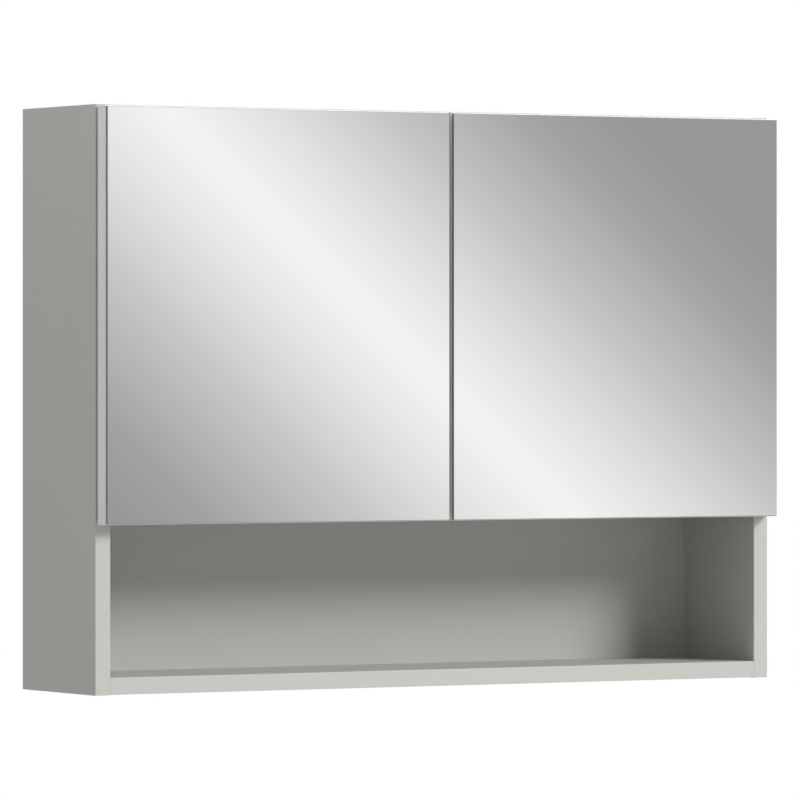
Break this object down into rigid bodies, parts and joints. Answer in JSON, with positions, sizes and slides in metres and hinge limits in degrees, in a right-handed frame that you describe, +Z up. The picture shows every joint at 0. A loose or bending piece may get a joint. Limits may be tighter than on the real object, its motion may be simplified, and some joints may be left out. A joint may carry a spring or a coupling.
{
  "type": "wall cabinet",
  "caption": "Hanging wall cabinet with mirrored hinged doors above an open niche, glass shelves, concealed cup hinges and wall hangers.",
  "frame": {"origin": "middle of the four wall fixing holes, on the wall plane", "axes": "+Z up, +X to the right seen from the front, +Y into the wall, so the doors face -Y"},
  "size_m": [0.75, 0.1705, 0.5544],
  "materials": {
    "melamine_board": "matte grey-green melamine on chipboard",
    "back_board": "thin lacquered hardboard",
    "door_board": "matte grey-green melamine on chipboard",
    "door_band": "satin silver-grey edge band",
    "carcass_band": "matte grey-green edge band",
    "shelf_glass": "clear float glass, polished edges",
    "mirror_glass": "silvered float glass with a polished arris",
    "nickel": "nickel-plated pressed steel",
    "zinc_cam": "plain zinc die casting",
    "zinc_plated": "zinc-plated steel",
    "beech": "plain fluted beech",
    "cap_plastic": "thin self-adhesive film",
    "hanger_plastic": "off-white moulded plastic",
    "bumper_rubber": "clear soft buffer"
  },
  "bodies": {
    "carcass": {"back_panel": "back_board", "bottom_edge_band": "carcass_band", "bottom_panel": "melamine_board", "cam_bolts": "zinc_plated", "cam_cover_caps": "cap_plastic", "cam_discs": "zinc_cam", "hanger_adjusting_screws": "zinc_plated", "hanger_fixing_screws": "zinc_plated", "hinge_adjusting_screws": "nickel", "hinge_arm_pins": "nickel", "hinge_plate_screws": "nickel", "left_hanger_hook": "zinc_plated", "left_hanger_housing": "hanger_plastic", "left_lower_hinge_arm": "nickel", "left_lower_hinge_plate": "nickel", "left_side_edge_band": "carcass_band", "left_side_panel": "melamine_board", "left_upper_hinge_arm": "nickel", "left_upper_hinge_plate": "nickel", "left_wall_plate": "zinc_plated", "lower_glass_shelf": "shelf_glass", "middle_edge_band": "carcass_band", "middle_panel": "melamine_board", "right_hanger_hook": "zinc_plated", "right_hanger_housing": "hanger_plastic", "right_lower_hinge_arm": "nickel", "right_lower_hinge_plate": "nickel", "right_side_edge_band": "carcass_band", "right_side_panel": "melamine_board", "right_upper_hinge_arm": "nickel", "right_upper_hinge_plate": "nickel", "right_wall_plate": "zinc_plated", "shelf_supports": "nickel", "top_edge_band": "carcass_band", "top_panel": "melamine_board", "upper_glass_shelf": "shelf_glass", "wood_dowels": "beech"},
    "left_inner_links": {"left_lower_inner_link": "nickel", "left_upper_inner_link": "nickel"},
    "right_inner_links": {"right_lower_inner_link": "nickel", "right_upper_inner_link": "nickel"},
    "left_outer_links": {"left_lower_outer_link": "nickel", "left_upper_outer_link": "nickel"},
    "right_outer_links": {"right_lower_outer_link": "nickel", "right_upper_outer_link": "nickel"},
    "left_door": {"left_cup_pins": "nickel", "left_cup_screws": "nickel", "left_door_bumpers": "bumper_rubber", "left_door_edge_bands": "door_band", "left_door_panel": "door_board", "left_hinge_cups": "nickel", "left_mirror": "mirror_glass"},
    "right_door": {"right_cup_pins": "nickel", "right_cup_screws": "nickel", "right_door_bumpers": "bumper_rubber", "right_door_edge_bands": "door_band", "right_door_panel": "door_board", "right_hinge_cups": "nickel", "right_mirror": "mirror_glass"}
  },
  "joints": [
    {"name": "left_inner_link_turn", "type": "hinge", "parent": "carcass", "child": "left_inner_links", "pos_m": [-0.3488, -0.1301, -0.13185], "axis": [0, 0, 1], "range_deg": [0, 26.25]},
    {"name": "left_door_turn", "type": "hinge", "parent": "left_inner_links", "child": "left_door", "pos_m": [-0.3664, -0.1563, -0.13185], "axis": [0, 0, -1], "range_deg": [0, 121.2]},
    {"name": "left_outer_link_turn", "type": "hinge", "parent": "carcass", "child": "left_outer_links", "pos_m": [-0.329, -0.145, -0.13185], "axis": [0, 0, 1], "range_deg": [0, 21.15]},
    {"name": "right_inner_link_turn", "type": "hinge", "parent": "carcass", "child": "right_inner_links", "pos_m": [0.3488, -0.1301, -0.13185], "axis": [0, 0, -1], "range_deg": [0, 26.25]},
    {"name": "right_door_turn", "type": "hinge", "parent": "right_inner_links", "child": "right_door", "pos_m": [0.3664, -0.1563, -0.13185], "axis": [0, 0, 1], "range_deg": [0, 121.2]},
    {"name": "right_outer_link_turn", "type": "hinge", "parent": "carcass", "child": "right_outer_links", "pos_m": [0.329, -0.145, -0.13185], "axis": [0, 0, -1], "range_deg": [0, 21.15]}
  ],
  "couplings": [
    {"joint": "left_inner_link_turn", "follows": "left_door_turn", "ratio": 0.21615},
    {"joint": "left_outer_link_turn", "follows": "left_door_turn", "ratio": 0.17408},
    {"joint": "right_inner_link_turn", "follows": "right_door_turn", "ratio": 0.21615},
    {"joint": "right_outer_link_turn", "follows": "right_door_turn", "ratio": 0.17408}
  ]
}
